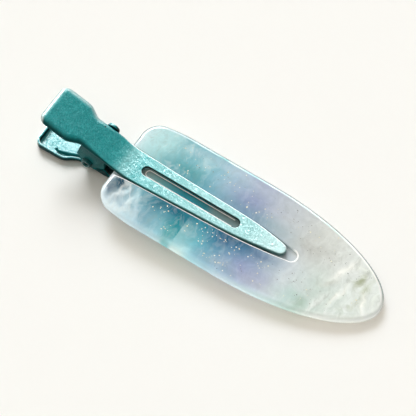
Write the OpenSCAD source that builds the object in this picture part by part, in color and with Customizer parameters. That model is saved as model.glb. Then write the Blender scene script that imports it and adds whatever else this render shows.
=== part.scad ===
// Duckbill hair clip with an acetate plate, lying as it rests on a table.
// Each piece is drawn in the plate's frame: x from the plate's back edge to its nose, z up from the plate's top face.
// The whole clip is then tipped by rest_tilt, so that the lever's flat underside and the nose both touch z = 0.

/* [Plate] */
// Length of the plate from its back edge to its nose
plate_l = 60; // [50:0.5:70]
// Greatest width of the plate
plate_w = 23.3; // [20:0.1:28]
// Thickness of the plate
plate_t = 2; // [1.9:0.1:3]
// Length of the rounded nose, from the plate's full width to its end
nose_l = 31.2; // [25:0.1:34]
// Length of the stretch behind the full width in which the sides draw in towards the back edge
flank_l = 10; // [6:0.5:14]
// How far each side draws in at the back edge
flank_in = 1.4; // [0:0.05:2]
// Radius of the two back corners
corner_r = 4.3; // [2:0.1:5]
// Radius of the plate's rounded edges
edge_r = 0.9; // [0.4:0.05:0.9]

/* [Groove] */
// Depth of the groove in the plate's top
groove_d = 0.7; // [0.4:0.05:1]
// Where the groove ends in front of the prong
groove_end = 41; // [39.5:0.1:44]

/* [Upper jaw] */
// Thickness of the pressed sheet of both jaws
sheet_t = 0.6; // [0.4:0.05:0.7]
// Depth of the turned-down rim, from the top face
rim_d = 0.95; // [0.8:0.05:1.2]
// Height of the prong's top face above the plate's
prong_z = 0.35; // [0.3:0.05:0.5]
// Where the prong ends
prong_end = 38.3; // [37:0.1:39]
// Radius of the prong's round tip
prong_tip_r = 1.25; // [1:0.05:1.4]
// Angle at which the upper lever rises from the prong
lever_angle = 18; // [15:0.5:22]
// Where the planes of the lever and the prong meet
bend_x = 0.35; // [0:0.05:1]
// Radius of the soft bend between lever and prong
bend_r = 8; // [4:0.5:10]
// Back end of the upper lever
lever_back = -17.1; // [-19:0.1:-16]
// Radius of the finger pad's corners
pad_corner_r = 1.6; // [1:0.1:2]
// Radius with which the finger pad's back end turns down
pad_edge_r = 0.7; // [0.65:0.05:0.9]
// Where the prong's slot starts and ends
slot_x = [4.8, 27.7];
// Width of the slot
slot_w = 2.2; // [1.6:0.1:2.4]

/* [Lower jaw] */
// Back end of the lower lever
heel_x = -18.7; // [-20:0.1:-18]
// Height of the lower lever's underside at its back end
heel_z = -6.6; // [-7.2:0.1:-6.3]
// Height of the top of the lower lever's rim
tray_rim_z = -4.85; // [-5:0.05:-4.6]
// Where the lower jaw's tongue ends under the plate
tongue_end = 36; // [30:0.5:37]
// Radius of the tongue's round end
tongue_tip_r = 1.6; // [1.2:0.1:1.8]

/* [Pivot] */
// Place of the pivot
pivot = [-6.35, -3.15];
// Radius of the hollow pin
pin_r = 1.15; // [1:0.05:1.2]
// Radius of the hole through the pin
pin_hole_r = 0.6; // [0.4:0.05:0.8]
// How far the pin stands out of the near ear
pin_proud = 0.85; // [0.3:0.05:1.2]
// How far the pin stands out of the far ear
pin_far_proud = 0.3; // [0.1:0.05:0.6]
// Running clearance of the pin in the upper jaw's ears
running_gap = 0.05; // [0.02:0.01:0.08]
// Gap between neighbouring ears
ear_gap = 0.2; // [0.15:0.05:0.25]

/* [Spring] */
// Diameter of the spring's wire
wire_d = 0.65; // [0.5:0.05:0.7]
// Turns of the coil
coil_turns = 5; // [4:1:5]

/* [Hidden] */

plate_half = plate_w / 2;
belly_x = plate_l - nose_l;
paint = [0.18, 0.6, 0.58];
pearl = [0.7, 0.8, 0.85, 0.9];
glue_gap = 0.05;
seat_gap = 0.01;
far_away = 100;
plan_step = 0.8;

// Half-widths of the upper jaw: columns are x and half-width
upper_rows = [
    [-17.3, 4.8], [-13.5, 4.88], [-10.7, 4.8], [-9.5, 4.2], [-8.2, 3.5], [-6.5, 3.5], [-2.2, 3.5],
    [0.4, 3.2], [8, 2.85], [16, 2.57], [26, 2.36], [31, 2.08], [34.8, 1.62], [36.9, 1.3]
];
// Half-widths of the groove on its near side: columns are x and half-width
groove_near_rows = [
    [-3, 5.2], [0, 4.55], [1.2, 4.35], [4, 3.95], [8.9, 3.68], [20.5, 3.3], [28, 2.98],
    [31.7, 2.72], [37, 1.98], [39.4, 1.5]
];
// Half-widths of the groove on its far side, where it follows the prong more closely
groove_far_rows = [
    [-3, 3.85], [0, 3.6], [4, 3.35], [8, 3.13], [16, 2.85], [26, 2.64], [31, 2.42], [34.8, 2.1], [39.4, 1.5]
];
groove_tip_r = 1.5;
// Half-widths of the lower jaw on its near side: columns are x and half-width
lower_near_rows = [
    [-18.7, 5.05], [-15, 5.05], [-11.6, 4.9], [-10, 3.95], [-8.6, 3.35], [-7.6, 3.3], [-4.6, 3.3],
    [-1, 3.35], [1.5, 2.8], [16, 2.6], [28, 2.3], [34.5, 1.6]
];
// Half-widths of the lower jaw on its far side
lower_far_rows = [
    [-18.7, 4.85], [-15, 4.9], [-11.6, 4.85], [-10.4, 4.5], [-9.3, 4.3], [-8.6, 3.75], [-7.9, 3.3],
    [-4.6, 3.3], [-1, 3.35], [1.5, 2.8], [16, 2.6], [28, 2.3], [34.5, 1.6]
];
// Underside of the lower jaw ahead of its flat tray: columns are x and height above the tray's own plane
neck_rise_rows = [[-5, 0], [-3, 0.05], [-1.2, 0.4], [0.2, 1.4], [1.6, 2.6], [2.6, 3.2]];

// The tray's plane runs from the heel to the lowest point of the nose
nose_contact = [plate_l - edge_r, -plate_t];
rest_slope = (nose_contact[1] - heel_z) / (nose_contact[0] - heel_x);
rest_tilt = atan(rest_slope);

// Ear planes: the upper jaw's two ears, the lower jaw's near ear inside and far ear outside
upper_ear_out = 3.5;
upper_ear_in = upper_ear_out - sheet_t;
near_ear_out = upper_ear_in - ear_gap;
near_ear_in = near_ear_out - sheet_t;
far_ear_in = upper_ear_out + ear_gap;
far_ear_out = far_ear_in + sheet_t;

// Smooth curve through a table's rows, and straight beyond its ends
function row_at(rows, x, i = 0) = i >= len(rows) - 2 || x < rows[i + 1][0] ? i : row_at(rows, x, i + 1);
function row_slope(rows, i) =
    let (a = rows[max(i - 1, 0)], b = rows[min(i + 1, len(rows) - 1)])
    (b[1] - a[1]) / (b[0] - a[0]);
function curve(rows, x) =
    let (i = row_at(rows, x), a = rows[i], b = rows[i + 1], h = b[0] - a[0], u = (x - a[0]) / h)
    u < 0 ? a[1] + row_slope(rows, i) * (x - a[0]) :
    u > 1 ? b[1] + row_slope(rows, i + 1) * (x - b[0]) :
    a[1] * (1 + 2 * u) * (1 - u) ^ 2 + b[1] * u ^ 2 * (3 - 2 * u)
        + h * (row_slope(rows, i) * u * (1 - u) ^ 2 - row_slope(rows, i + 1) * u ^ 2 * (1 - u));

function arc(cx, cy, r, from, to, steps) =
    [for (i = [0:steps]) let (a = from + (to - from) * i / steps) [cx + r * cos(a), cy + r * sin(a)]];
function run(rows, from, to, step, inset = 0) =
    [for (i = [0:ceil((to - from) / step)]) let (x = min(from + i * step, to)) [x, curve(rows, x) - inset]];
function flipped(points) = [for (i = [len(points) - 1:-1:0]) [points[i][0], -points[i][1]]];
function unit(v) = v / norm(v);

// A closed skin over rings of corners, each ring with the same number of them
module skin(points, sides) {
    last = len(points) - sides;
    walls = [for (a = [0:sides:last - 1]) for (k = [0:sides - 1])
        let (p = a + k, q = a + (k + 1) % sides)
        each [[q + sides, q, p], [p + sides, q + sides, p]]];
    polyhedron(points, concat([[for (k = [0:sides - 1]) k]], walls, [[for (k = [sides - 1:-1:0]) last + k]]));
}

// Half-width of the plate at x
function plate_at(x) =
    x > belly_x ? plate_half * sqrt(max(0, 1 - ((x - belly_x) / nose_l) ^ 2)) :
    x < flank_l ? plate_half - flank_in * ((flank_l - x) / flank_l) ^ 2 :
    plate_half;

// Top face of the upper jaw at x
bend_reach = bend_r * tan(lever_angle / 2);
bend_from = bend_x - bend_reach * cos(lever_angle);
bend_to = bend_x + bend_reach;
function upper_top(x) =
    x > bend_to ? prong_z :
    x < bend_from ? prong_z + (bend_x - x) * tan(lever_angle) :
    prong_z + bend_r - sqrt(bend_r ^ 2 - (bend_to - x) ^ 2);

// Underside of the lower jaw at x
function tray_at(x) = heel_z + (x - heel_x) * rest_slope;
tongue_z = -plate_t - glue_gap - sheet_t;
function lower_under(x) =
    x < neck_rise_rows[0][0] ? tray_at(x) :
    min(tongue_z, tray_at(x) + curve(neck_rise_rows, x));

function plate_slope(x) = x < flank_l ? 2 * flank_in * (flank_l - x) / flank_l ^ 2 : 0;

// Outline of the plate drawn in by inset: back corner, side and nose of one half, the nose's end, and the other half
function plate_outline(inset) =
    let (
        corner_end = 98,
        corner_x = corner_r * (1 + cos(corner_end)),
        corner_y = plate_at(corner_x) - corner_r * sin(corner_end),
        corner = arc(corner_r, corner_y, corner_r - inset, 180, corner_end, 8),
        side = [for (x = [corner_x + 1:1.5:belly_x - 1])
            [x, plate_at(x)] + inset * unit([plate_slope(x), -1])],
        nose = [for (a = [90:-4.5:4.5])
            [belly_x + nose_l * cos(a), plate_half * sin(a)]
                - inset * unit([cos(a) / nose_l, sin(a) / plate_half])],
        half = concat(corner, side, nose)
    )
    concat(half, [[plate_l - inset, 0]], flipped(half));

module groove_outline() {
    tip_x = groove_end - groove_tip_r;
    far = run(groove_far_rows, groove_far_rows[0][0], tip_x - 0.5, 1.5);
    near = run(groove_near_rows, groove_near_rows[0][0], tip_x - 0.5, 1.5);
    polygon(concat(far, arc(tip_x, 0, groove_tip_r, 75, -75, 10), flipped(near)));
}

// Levels of the plate's rounded edges, from the top to the underside: columns are height and inset
edge_levels = concat(
    [for (a = [90:-22.5:0]) [-edge_r * (1 - sin(a)), edge_r * (1 - cos(a))]],
    [for (a = [0:22.5:90]) [-plate_t + edge_r * (1 - sin(a)), edge_r * (1 - cos(a))]]
);

module acetate_plate() {
    color(pearl)
    difference() {
        skin(
            [for (e = edge_levels) for (p = plate_outline(e[1])) [p[0], p[1], e[0]]],
            len(plate_outline(0))
        );
        translate([0, 0, -groove_d])
            linear_extrude(far_away)
                groove_outline();
    }
}

// Plan of the upper jaw, drawn in by inset
module upper_plan(inset = 0) {
    back = lever_back + inset;
    corner = pad_corner_r - inset;
    tip_x = prong_end - prong_tip_r;
    half = concat(
        arc(back + corner, curve(upper_rows, back + corner) - inset - corner, corner, 180, 90, 5),
        run(upper_rows, back + corner + plan_step, tip_x, plan_step, inset),
        arc(tip_x, 0, prong_tip_r - inset, 72, 0, 6)
    );
    polygon(concat(half, flipped(half)));
}

// Side view of the upper jaw: drop is how far its top lies below the top face, and deep its own depth
module upper_side(drop, deep, inset = 0) {
    back = lever_back + inset;
    round_r = pad_edge_r - inset;
    stations = concat(
        [for (a = [0:30:90]) back + round_r * (1 - cos(a))],
        [for (i = [0:8]) bend_from + (bend_to - bend_from) * i / 8],
        [prong_end + 1]
    );
    rounding = function (x) x < back + round_r ? round_r - sqrt(max(0, round_r ^ 2 - (back + round_r - x) ^ 2)) : 0;
    top = [for (x = stations) [x, upper_top(x) - drop - rounding(x)]];
    under = [for (i = [len(stations) - 1:-1:0]) [stations[i], upper_top(stations[i]) - drop - deep]];
    polygon(concat(top, under));
}

// A side view stood up along y from y0 to y1
module across(y0, y1) {
    translate([0, y1, 0])
        rotate([90, 0, 0])
            linear_extrude(y1 - y0)
                children();
}

module bored(r) {
    difference() {
        children();
        translate([pivot[0], 0, pivot[1]])
            rotate([90, 0, 0])
                cylinder(r = r, h = far_away, center = true, $fn = 64);
    }
}

// The smallest outline round a list of circles: each is x, z and radius
module around(rounds) {
    hull()
        for (c = rounds)
            translate([c[0], c[1]])
                circle(r = c[2], $fn = 48);
}

// One of the upper jaw's ears, from within its rim down round the pivot
upper_ear_top = [-7.6, -2.55];
upper_ear_rounds = [
    [pivot[0], pivot[1], 1.85], [-8, -2.05, 1], [-2.65, -2.2, 0.35],
    for (x = upper_ear_top) [x, upper_top(x) - 0.8, 0.3]
];

module slot() {
    slot_r = slot_w / 2;
    for (x = [slot_x[0] + slot_r, slot_x[1] - slot_r])
        translate([x, 0, -far_away / 2])
            cylinder(r = slot_r, h = far_away, $fn = 64);
    translate([slot_x[0] + slot_r, -slot_r, -far_away / 2])
        cube([slot_x[1] - slot_x[0] - slot_w, slot_w, far_away]);
}

module upper_jaw() {
    color(paint)
    bored(pin_r + running_gap)
    difference() {
        union() {
            intersection() {
                across(-far_away, far_away)
                    upper_side(0, rim_d);
                translate([0, 0, -far_away / 2])
                    linear_extrude(far_away)
                        upper_plan();
            }
            for (y = [-upper_ear_out, upper_ear_in])
                across(y, y + sheet_t)
                    around(upper_ear_rounds);
        }
        intersection() {
            across(-far_away, far_away)
                upper_side(sheet_t, 2 * rim_d, sheet_t);
            translate([0, 0, -far_away / 2])
                linear_extrude(far_away)
                    upper_plan(sheet_t);
        }
        slot();
    }
}

// Plan of the lower jaw, drawn in by inset
module lower_plan(inset = 0) {
    back = heel_x + inset;
    corner = pad_corner_r - inset;
    tip_x = tongue_end - tongue_tip_r;
    corner_y = curve(lower_near_rows, back + corner) - inset - corner;
    corner_arc = arc(back + corner, corner_y, corner, 180, 90, 5);
    far = concat(corner_arc, run(lower_far_rows, back + corner + plan_step, tip_x, plan_step, inset));
    near = concat(corner_arc, run(lower_near_rows, back + corner + plan_step, tip_x, plan_step, inset));
    tip = arc(tip_x, 0, tongue_tip_r - inset, 75, -75, 10);
    polygon(concat(far, tip, flipped(near)));
}

// Height of the rim's top edge, which falls to the neck's low walls and ends at the plate
rim_rows = [
    [heel_x, tray_rim_z], [-12, tray_rim_z], [-9.6, tray_rim_z], [-8.4, -5.05], [-7.6, -5.3], [-5.2, -5.3],
    [-4.6, -4.95], [-3.6, -4.1], [-2.7, -3.5], [-2.1, -3.7], [-1.55, -4.5], [-0.9, -4.7]
];

rim_end = rim_rows[len(rim_rows) - 1][0];
lower_stations = concat(
    [for (x = [heel_x:0.7:neck_rise_rows[0][0]]) x],
    [for (x = [neck_rise_rows[0][0]:0.4:3]) x],
    [tongue_end + 1]
);

// Side view of the lower jaw: all of it up to the rim's top edge, or what lies above its sheet
module lower_side() {
    under = [for (x = lower_stations) [x, lower_under(x)]];
    top = [for (i = [len(lower_stations) - 1:-1:0])
        let (x = lower_stations[i], sheet_top = lower_under(x) + sheet_t)
        [x, x < rim_end ? max(sheet_top, curve(rim_rows, x)) : sheet_top]];
    polygon(concat(under, top));
}
module above_sheet() {
    floor_line = [for (x = lower_stations) [x, lower_under(x) + sheet_t]];
    polygon(concat(floor_line, [[tongue_end + 1, far_away], [heel_x, far_away]]));
}

// The near ear stands on the neck's floor
lower_ear_r = 1.9;
near_ear_rounds = [[pivot[0], pivot[1], lower_ear_r], [-7.4, -5.3, 0.1], [-4.7, -5.3, 0.1]];
// The far ear stands outside the upper jaw, on an arm from the tray's rim, and its lobe shows beside the lever
far_ear_rounds = [[pivot[0], pivot[1], lower_ear_r], [-5, 0.85, 1.35]];
far_arm_rounds = [[-7.2, -4.05, 1], [-10.4, -5.7, 0.2], [-10.4, -5.05, 0.2]];

module lower_jaw() {
    color(paint)
    bored(pin_r + seat_gap)
    union() {
        difference() {
            intersection() {
                across(-far_away, far_away)
                    lower_side();
                translate([0, 0, -far_away / 2])
                    linear_extrude(far_away)
                        lower_plan();
            }
            intersection() {
                across(-far_away, far_away)
                    above_sheet();
                translate([0, 0, -far_away / 2])
                    linear_extrude(far_away)
                        lower_plan(sheet_t);
            }
        }
        across(-near_ear_out, -near_ear_in)
            around(near_ear_rounds);
        across(far_ear_in, far_ear_out) {
            around(far_ear_rounds);
            around(far_arm_rounds);
        }
    }
}

module pivot_pin() {
    near_end = -upper_ear_out - pin_proud;
    far_end = far_ear_out + pin_far_proud;
    color(paint)
    translate([pivot[0], far_end, pivot[1]])
        rotate([90, 0, 0])
            difference() {
                cylinder(r = pin_r, h = far_end - near_end, $fn = 64);
                cylinder(r = pin_hole_r, h = far_away, center = true, $fn = 48);
            }
}

// The wire's path: the tray leg, the coil from near to far, and the leg under the upper lever
coil_play = 0.08;
coil_r = pin_r + coil_play + wire_d / 2;
coil_y = [-near_ear_in + wire_d / 2 + 0.05, upper_ear_in - wire_d / 2 - 0.15];
coil_from = 262;
coil_to = 49 + 360 * (coil_turns + 1);
coil_steps = 14 * coil_turns;
function on_coil(a) =
    let (u = (a - coil_from) / (coil_to - coil_from))
    [pivot[0] + coil_r * cos(a), coil_y[0] + (coil_y[1] - coil_y[0]) * u, pivot[1] + coil_r * sin(a)];
tray_leg = [[-14.1, -3.75, -4.7], [-13.9, -3.75, -5.1], [-13.4, -3.62, -5.31], [-11, -2.92, -5.17],
    [-9.6, -2.42, -5.04], [-8.5, -1.98, -4.9], [-7.6, -1.74, -4.8]];
lever_leg = [[-8, coil_y[1], 0.36], [-10.2, coil_y[1], 2.27], [-11.2, coil_y[1], 2.95]];
wire_path = concat(
    tray_leg,
    [for (i = [0:coil_steps]) on_coil(coil_from + (coil_to - coil_from) * i / coil_steps)],
    lever_leg
);

function heading(path, i) = unit(path[min(i + 1, len(path) - 1)] - path[max(i - 1, 0)]);

// A round wire swept along a path, with a ring of corners at each point
wire_sides = 8;
module wire(path, d) {
    skin(
        [for (i = [0:len(path) - 1])
            let (along = heading(path, i), over = unit(cross(along, [0.1, 1, 0.05])), third = cross(along, over))
            for (k = [0:wire_sides - 1])
                let (a = 360 * k / wire_sides)
                path[i] + d / 2 * (over * cos(a) + third * sin(a))],
        wire_sides
    );
}

module torsion_spring() {
    color(paint)
    wire(wire_path, wire_d);
}

// The clip tipped to its resting pose, with the middle of its outline over the origin
function tipped(x, z) = [x * cos(rest_tilt) + z * sin(rest_tilt), -x * sin(rest_tilt) + z * cos(rest_tilt)];
heel_end = tipped(heel_x, heel_z);
nose_end = tipped(plate_l, -plate_t / 2);
module at_rest() {
    translate([-(heel_end[0] + nose_end[0]) / 2, 0, -heel_end[1]])
        rotate([0, rest_tilt, 0])
            children();
}

at_rest() acetate_plate();
at_rest() lower_jaw();
at_rest() upper_jaw();
at_rest() pivot_pin();
at_rest() torsion_spring();
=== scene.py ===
import math
import random

import bmesh
import bpy
from mathutils import Matrix, Vector


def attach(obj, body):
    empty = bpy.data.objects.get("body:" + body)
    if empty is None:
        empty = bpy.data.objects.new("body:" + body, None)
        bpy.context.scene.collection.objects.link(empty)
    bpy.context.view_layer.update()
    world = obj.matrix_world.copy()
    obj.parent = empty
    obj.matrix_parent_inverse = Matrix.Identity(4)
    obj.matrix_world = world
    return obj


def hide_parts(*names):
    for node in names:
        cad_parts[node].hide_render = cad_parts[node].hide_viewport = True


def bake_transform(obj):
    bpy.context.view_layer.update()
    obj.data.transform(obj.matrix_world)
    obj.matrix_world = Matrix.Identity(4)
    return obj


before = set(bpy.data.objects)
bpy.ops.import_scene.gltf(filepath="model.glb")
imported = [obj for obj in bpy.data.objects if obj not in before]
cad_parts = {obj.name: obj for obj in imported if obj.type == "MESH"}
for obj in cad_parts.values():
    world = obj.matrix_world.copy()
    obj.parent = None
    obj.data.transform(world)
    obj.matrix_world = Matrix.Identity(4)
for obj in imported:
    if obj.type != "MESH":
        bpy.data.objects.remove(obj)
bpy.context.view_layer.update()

# The clip is drawn in the plate's own frame, in millimetres: x from the plate's back edge to its nose, z up from its
# top face. AT_REST tips it as it lies and turns millimetres to metres.
HEEL = (-18.7, -6.6)
NOSE_CONTACT = (59.1, -2)
NOSE_MID = (60, -1)
TILT = math.atan2(NOSE_CONTACT[1] - HEEL[1], NOSE_CONTACT[0] - HEEL[0])


def tipped(x, z):
    """Where a point of the side view comes to lie once the clip rests on the floor."""
    return (x * math.cos(TILT) + z * math.sin(TILT), -x * math.sin(TILT) + z * math.cos(TILT))


AT_REST = (
    Matrix.Scale(0.001, 4)
    @ Matrix.Translation((-(tipped(*HEEL)[0] + tipped(*NOSE_MID)[0]) / 2, 0, -tipped(*HEEL)[1]))
    @ Matrix.Rotation(TILT, 4, "Y")
)
FROM_REST = AT_REST.inverted()

# The pin, and the plate's length, half-width, nose, thickness, flanks, back corners and rounded edge
PIVOT = (-6.35, -3.15)
PIN_R, PIN_HOLE_R, PIN_NEAR, PIN_FAR = 1.15, 0.6, -4.35, 4.6
PLATE_L, PLATE_HALF, NOSE_L, PLATE_T = 60, 11.65, 31.2, 2.0
FLANK_L, FLANK_IN, CORNER_R, CORNER_END, EDGE_R = 10, 1.4, 4.3, 98, 0.9


# ------------ pieces
# Every piece that this script makes, for the lamps that tell the clip from the floor
PIECES = []


def added(name, data):
    """An object in the scene that holds a mesh, a light or a camera."""
    made = bpy.data.objects.new(name, data)
    bpy.context.collection.objects.link(made)
    return made


def plain_mesh(bm, name):
    """An object out of a drawn mesh, as it is."""
    mesh = bpy.data.meshes.new(name)
    bm.to_mesh(mesh)
    bm.free()
    return added(name, mesh)


def new_piece(bm, name, material, body, node=None, angle=35):
    """Turns a mesh drawn in millimetres into a piece at rest, smooth where its faces meet at less than angle."""
    bm.transform(AT_REST)
    piece = plain_mesh(bm, name)
    for polygon in piece.data.polygons:
        polygon.use_smooth = True
    piece.data.set_sharp_from_angle(angle=math.radians(angle))
    piece.data.materials.append(material)
    if body:
        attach(piece, body)
    if node:
        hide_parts(node)
    PIECES.append(piece)
    return piece


def keep_flats_flat(piece):
    """Shades large faces flat, up to their bevels."""
    weighted = piece.modifiers.new("flat_faces_shade_flat", "WEIGHTED_NORMAL")
    weighted.keep_sharp = True
    weighted.weight = 80


# ------------ node helpers
class Term:
    """A value among a material's nodes: +, -, *, <, > and the like lay down its Math nodes."""

    def __init__(self, socket):
        self.socket = socket

    def maths(self, operation, a, b=0):
        tree = self.socket.id_data
        made = tree.nodes.new("ShaderNodeMath")
        made.operation = operation
        for index, value in enumerate((a, b)):
            if isinstance(value, Term):
                tree.links.new(value.socket, made.inputs[index])
            else:
                made.inputs[index].default_value = value
        return Term(made.outputs[0])

    def __add__(self, other):
        return self.maths("ADD", self, other)

    def __sub__(self, other):
        return self.maths("SUBTRACT", self, other)

    def __rsub__(self, other):
        return self.maths("SUBTRACT", other, self)

    def __mul__(self, other):
        return self.maths("MULTIPLY", self, other)

    def __rpow__(self, other):
        return self.maths("POWER", other, self)

    def __lt__(self, other):
        return self.maths("LESS_THAN", self, other)

    def __gt__(self, other):
        return self.maths("GREATER_THAN", self, other)

    def __abs__(self):
        return self.maths("ABSOLUTE", self)

    def root(self):
        return self.maths("SQRT", self)

    def at_least(self, other):
        return self.maths("MAXIMUM", self, other)

    def clamped(self):
        self.socket.node.use_clamp = True
        return self


class Nodes:
    """A tree's nodes, laid down one after another."""

    def __init__(self, tree):
        self.tree = tree
        self.tree.nodes.clear()

    def node(self, kind, values=None, **links):
        """A node with its values set and its inputs linked: n0 is the first input, and _ stands for a space."""
        made = self.tree.nodes.new(kind)
        for key, value in (values or {}).items():
            if key in made.inputs:
                made.inputs[key].default_value = value
            else:
                setattr(made, key, value)
        for key, source in links.items():
            socket = source.socket if isinstance(source, Term) else source.outputs[0]
            numbered = key[0] == "n" and key[1:].isdigit()
            self.tree.links.new(socket, made.inputs[int(key[1:]) if numbered else key.replace("_", " ")])
        return made

    def term(self, kind, values=None, output=0, **links):
        return Term(self.node(kind, values, **links).outputs[output])

    def noise(self, place, scale, detail, roughness=0.5, distortion=0, output=0):
        values = {"Scale": scale, "Detail": detail, "Roughness": roughness, "Distortion": distortion}
        return self.term("ShaderNodeTexNoise", values, output, Vector=place)

    def attribute(self, name):
        return self.term("ShaderNodeAttribute", {"attribute_name": name}, "Fac")

    def vector(self, operation, a, b):
        """Vector maths with another vector or, to scale by it, a number."""
        made = self.node("ShaderNodeVectorMath", {"operation": operation}, n0=a)
        if isinstance(b, Term):
            self.tree.links.new(b.socket, made.inputs[1])
        else:
            made.inputs[1 if isinstance(b, tuple) else "Scale"].default_value = b
        return Term(made.outputs["Value" if operation == "DOT_PRODUCT" else "Vector"])

    def axes(self, place):
        apart = self.node("ShaderNodeSeparateXYZ", Vector=place)
        return [Term(apart.outputs[axis]) for axis in "XYZ"]

    def ramp(self, factor, stops):
        """A ramp of colours or, where the stops are numbers, of greys."""
        made = self.node("ShaderNodeValToRGB", Fac=factor)
        marks = made.color_ramp.elements
        while len(marks) < len(stops):
            marks.new(0.5)
        for mark, (place, colour) in zip(marks, stops):
            mark.position = place
            mark.color = (*colour, 1) if isinstance(colour, tuple) else (colour, colour, colour, 1)
        return Term(made.outputs[0])

    def along(self, x, stops):
        """A ramp along the plate: stops in millimetres, of colours from 0 to 255 or of greys."""
        return self.ramp(
            x * (1 / PLATE_L), [(at / PLATE_L, srgb(*c) if isinstance(c, tuple) else c) for at, c in stops]
        )

    def mix(self, factor, a, b, blend="MIX"):
        made = self.node("ShaderNodeMix", {"data_type": "RGBA", "blend_type": blend})
        for index, value in ((0, factor), (6, a), (7, b)):
            if isinstance(value, Term):
                self.tree.links.new(value.socket, made.inputs[index])
            else:
                made.inputs[index].default_value = (*value, 1) if isinstance(value, tuple) else value
        return Term(made.outputs[2])


class Finish(Nodes):
    """A material's nodes, drawn together in one surface."""

    def __init__(self, name):
        self.material = bpy.data.materials.new(name)
        self.material.use_nodes = True
        super().__init__(self.material.node_tree)

    def place(self):
        return self.term("ShaderNodeTexCoord", output="Object")

    def plate_place(self):
        """Where a point lies in the plate's own frame, in millimetres."""
        into_plate = {"Location": FROM_REST.translation, "Rotation": (0, -TILT, 0), "Scale": (1000, 1000, 1000)}
        return self.term("ShaderNodeMapping", {"vector_type": "POINT", **into_plate}, n0=self.place())

    def finished(self, values, **links):
        shader = self.node("ShaderNodeBsdfPrincipled", values, **links)
        self.node("ShaderNodeOutputMaterial", Surface=shader)
        return self.material


def srgb(r, g, b):
    """A colour read off as 0 to 255, as the linear values that materials take."""
    return tuple((c / 255 / 12.92) if c / 255 <= 0.04045 else ((c / 255 + 0.055) / 1.055) ** 2.4 for c in (r, g, b))


# ------------ finishes
WHITE, SHADE_BLACK, MIDDLE_GREY = (1, 1, 1), (0.002, 0.003, 0.003), (0.5, 0.5, 0.5)
# The prong's slot: where it starts and ends, its width and its middle line
SLOT_FROM, SLOT_TO, SLOT_WIDE, SLOT_MIDDLE = 4.8, 27.7, 2.2, -0.2
# Along the prong, how much a painted sheen lightens its paint toward the tip
PRONG_SHEEN = [(0, 0), (1, 0.1), (3, 0.08), (4, 0), (6, 0.04), (20, 0.2), (30, 0.26), (38, 0.5)]
# The lever's clear coat is thinner than the prong's, and they change over at the bend
LEVER_GLOSS, PRONG_GLOSS, GLOSS_FROM, GLOSS_RISE = 0.6, 1.6, -1, 0.5
# A chip in the paint: its middle, its radius squared, and the height above which it lies
CHIP_X, CHIP_Y, CHIP_R2, CHIP_ABOVE = -6.1, 2.7, 0.02, 1.2


def teal_paint(name, deep=(0, 128, 135), light=(4, 154, 159), edge=(0, 36, 40), sheen_chip_and_slot_shade=False, shaded_neck=False):
    """Powder paint full of fine metal flakes: grain in its colour, its gloss and its surface, and darker where
    the sheet turns down: partly thin paint, partly painted shade on the near side's bends. It also carries
    painted highlights, and where asked a painted sheen and painted shade."""
    f = Finish(name)
    place = f.place()
    grain = f.noise(place, 4200, 2, 0.6)
    cloud = f.noise(place, 500, 3)
    flakes = f.term("ShaderNodeTexVoronoi", {"Scale": 6500, "Randomness": 1.0}, "Color", Vector=place)
    paint = f.ramp(grain * 0.7 + cloud * 0.3, [(0.3, srgb(*deep)), (0.7, srgb(*light))])
    turned = f.attribute("turned")
    # darker toward the edge colour where the sheet turns: partly thin paint, partly painted shade on the near bends
    paint = f.mix(turned * 0.9, paint, srgb(*edge))
    # painted highlight: near white along the prong's far edge and the pad's back and far bends
    paint = f.mix(f.attribute("painted_highlight"), paint, srgb(240, 252, 252))
    gloss = PRONG_GLOSS
    if sheen_chip_and_slot_shade or shaded_neck:
        x, y, z = f.axes(f.plate_place())
    if sheen_chip_and_slot_shade:
        # painted sheen: the prong's paint mixed toward near white, away from its turned edges
        paint = f.mix(f.along(x, PRONG_SHEEN) * (1 - turned), paint, srgb(236, 250, 250))
        gloss = ((x - GLOSS_FROM) * GLOSS_RISE).clamped() + LEVER_GLOSS
        chip_x, chip_y = x - CHIP_X, y - CHIP_Y
        chip = (chip_x * chip_x + chip_y * chip_y < CHIP_R2) * (z > CHIP_ABOVE)
        paint = f.mix(chip, paint, (0.004, 0.01, 0.01))
        # painted shade: the slot's walls are painted near black
        slot_wall_shade = (abs(y - SLOT_MIDDLE) < SLOT_WIDE / 2 + 0.06) * (z < 0.2)
        slot_wall_shade = slot_wall_shade * (x > SLOT_FROM - 0.1) * (x < SLOT_TO + 0.1)
        paint = f.mix(slot_wall_shade, paint, srgb(0, 30, 32))
    if shaded_neck:
        # painted shade: the neck between the ears is painted near black
        neck_shade_mask = f.ramp((x + 10) * 0.1, [(0.56, 0), (0.64, 0.97), (1, 0.97)])
        paint = f.mix(neck_shade_mask * (y > -3.05), paint, SHADE_BLACK)
    lean = f.vector("SCALE", f.vector("SUBTRACT", flakes, MIDDLE_GREY), 0.24)
    leaning = f.vector("ADD", f.term("ShaderNodeNewGeometry", output="Normal"), lean)
    flake_normal = f.term("ShaderNodeVectorMath", {"operation": "NORMALIZE"}, n0=leaning)
    peel = f.term("ShaderNodeBump", {"Strength": 0.5, "Distance": 0.00002}, Height=grain, Normal=flake_normal)
    return f.finished(
        {"Metallic": 0.12, "IOR": 1.5, "Specular IOR Level": 0.18, "Coat Roughness": 0.28, "Coat IOR": 1.5},
        Base_Color=paint, Roughness=grain * 0.2 + 0.4, Normal=flake_normal, Coat_Normal=peel,
        Coat_Weight=((1 - turned) * gloss).clamped(),
    )


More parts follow.
